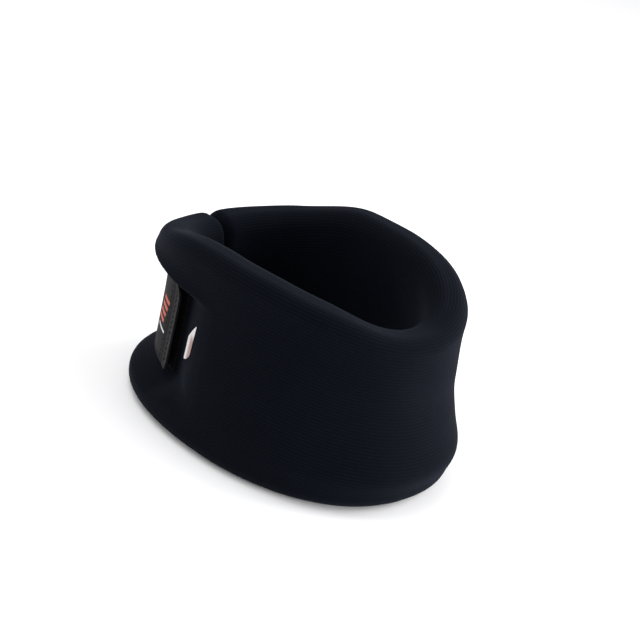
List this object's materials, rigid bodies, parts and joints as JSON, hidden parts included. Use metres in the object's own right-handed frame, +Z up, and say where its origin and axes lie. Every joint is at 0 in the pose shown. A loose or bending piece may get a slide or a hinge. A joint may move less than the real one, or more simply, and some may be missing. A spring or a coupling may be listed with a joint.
{
  "type": "cervical collar",
  "caption": "Soft foam neck collar in a dark rib-knit sleeve, contoured under the chin and closed at the nape by a hook strap over a loop panel.",
  "frame": {"origin": "centre of the bounding box, on the surface that the bottom rim stands on", "axes": "+Z up, -Y the wearer's front under the chin, +X the wearer's left, +Y the closure at the nape"},
  "size_m": [0.1618, 0.2011, 0.1095],
  "materials": {
    "foam": "open-cell foam",
    "rib_knit": "fine rib knit",
    "loop_pile": "brushed loop pile",
    "thread": "sewing thread",
    "label": "woven satin",
    "strap_tape": "close woven tape",
    "hooks": "moulded hooks",
    "print_red": "screen print",
    "print_pale": "screen print"
  },
  "bodies": {
    "right_half": {"foam_core_right": "foam", "knit_sleeve_right": "rib_knit", "end_seam_right": "rib_knit", "loop_panel": "loop_pile", "loop_panel_stitching": "thread", "side_label": "label"},
    "left_half": {"foam_core_left": "foam", "knit_sleeve_left": "rib_knit", "end_seam_left": "rib_knit", "strap_anchor": "strap_tape", "strap_anchor_stitching": "thread"},
    "strap": {"hook_strap": "strap_tape", "hook_field": "hooks", "hook_field_stitching": "thread", "strap_print_bars": "print_red", "strap_print_rule": "print_pale"},
    "tab": {"pull_tab": "strap_tape", "pull_tab_hem": "thread"}
  },
  "joints": [
    {"name": "collar_open", "type": "hinge", "parent": "right_half", "child": "left_half", "pos_m": [0, -0.1015, 0.05], "axis": [0, 0, -1], "range_deg": [0, 50]},
    {"name": "strap_peel", "type": "hinge", "parent": "left_half", "child": "strap", "pos_m": [0.03385, 0.08023, 0.0508], "axis": [0.0081, -0.0853, -0.9963], "range_deg": [0, 100]},
    {"name": "tab_lift", "type": "hinge", "parent": "strap", "child": "tab", "pos_m": [-0.06347, 0.04778, 0.0508], "axis": [0.006, -0.0412, -0.9991], "range_deg": [0, 40], "stiffness_Nm_per_rad": 0.002}
  ],
  "couplings": [
    {"joint": "strap_peel", "follows": "collar_open", "ratio": 2}
  ]
}
